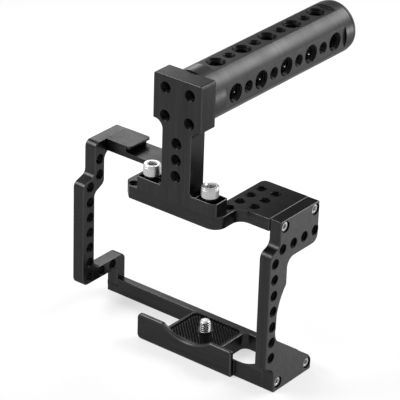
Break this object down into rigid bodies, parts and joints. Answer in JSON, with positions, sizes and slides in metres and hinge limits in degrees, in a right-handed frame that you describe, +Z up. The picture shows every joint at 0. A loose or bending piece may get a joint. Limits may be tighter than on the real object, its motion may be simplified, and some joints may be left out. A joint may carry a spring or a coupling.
{
  "type": "camera cage with top handle",
  "caption": "Milled camera cage with a notched top plate, screw-on side plates, a padded base with a camera screw, and a bolted top handle with a drilled grip.",
  "frame": {"origin": "on the cage's underside, midway between the side plates and at mid depth of their corners", "axes": "+X towards the side plate with the brace, +Y from the lens side to the back, along the grip, +Z up"},
  "size_m": [0.15, 0.1494, 0.1887],
  "materials": {
    "cage_black": "black anodised aluminium, satin, with finely milled edges",
    "handle_black": "black anodised aluminium, satin",
    "pad_rubber": "matt black ribbed rubber",
    "screw_steel": "bright nickel plated steel",
    "dark_steel": "black oxide steel",
    "cap_plastic": "matt black moulded plastic"
  },
  "bodies": {
    "cage": {"base_plate": "cage_black", "base_pad": "pad_rubber", "left_side_plate": "cage_black", "right_side_plate": "cage_black", "top_plate": "cage_black", "left_top_screw_front": "screw_steel", "left_top_screw_rear": "screw_steel", "left_base_screw": "screw_steel", "right_top_screw_front": "screw_steel", "right_top_screw_rear": "screw_steel", "right_base_screw_front": "screw_steel", "right_base_screw_rear": "screw_steel", "handle_bracket": "handle_black", "handle_collar_left": "dark_steel", "handle_collar_right": "dark_steel", "grip_tube": "handle_black", "grip_bolt": "screw_steel", "grip_bolt_washer": "screw_steel", "grip_end_cap": "cap_plastic"},
    "camera_screw_body": {"camera_screw": "screw_steel", "camera_screw_clip": "dark_steel"},
    "handle_screw_left_body": {"handle_screw_left": "screw_steel"},
    "handle_screw_right_body": {"handle_screw_right": "screw_steel"}
  },
  "joints": [
    {"name": "camera_screw_turn", "type": "hinge", "parent": "cage", "child": "camera_screw_body", "pos_m": [0.0123, -0.0025, 0], "axis": [0, 0, 1], "continuous": true},
    {"name": "handle_screw_left_turn", "type": "hinge", "parent": "cage", "child": "handle_screw_left_body", "pos_m": [-0.0051, -0.0342, 0.1111], "axis": [0, 0, 1], "continuous": true},
    {"name": "handle_screw_right_turn", "type": "hinge", "parent": "cage", "child": "handle_screw_right_body", "pos_m": [0.0365, -0.0342, 0.1111], "axis": [0, 0, 1], "continuous": true}
  ]
}
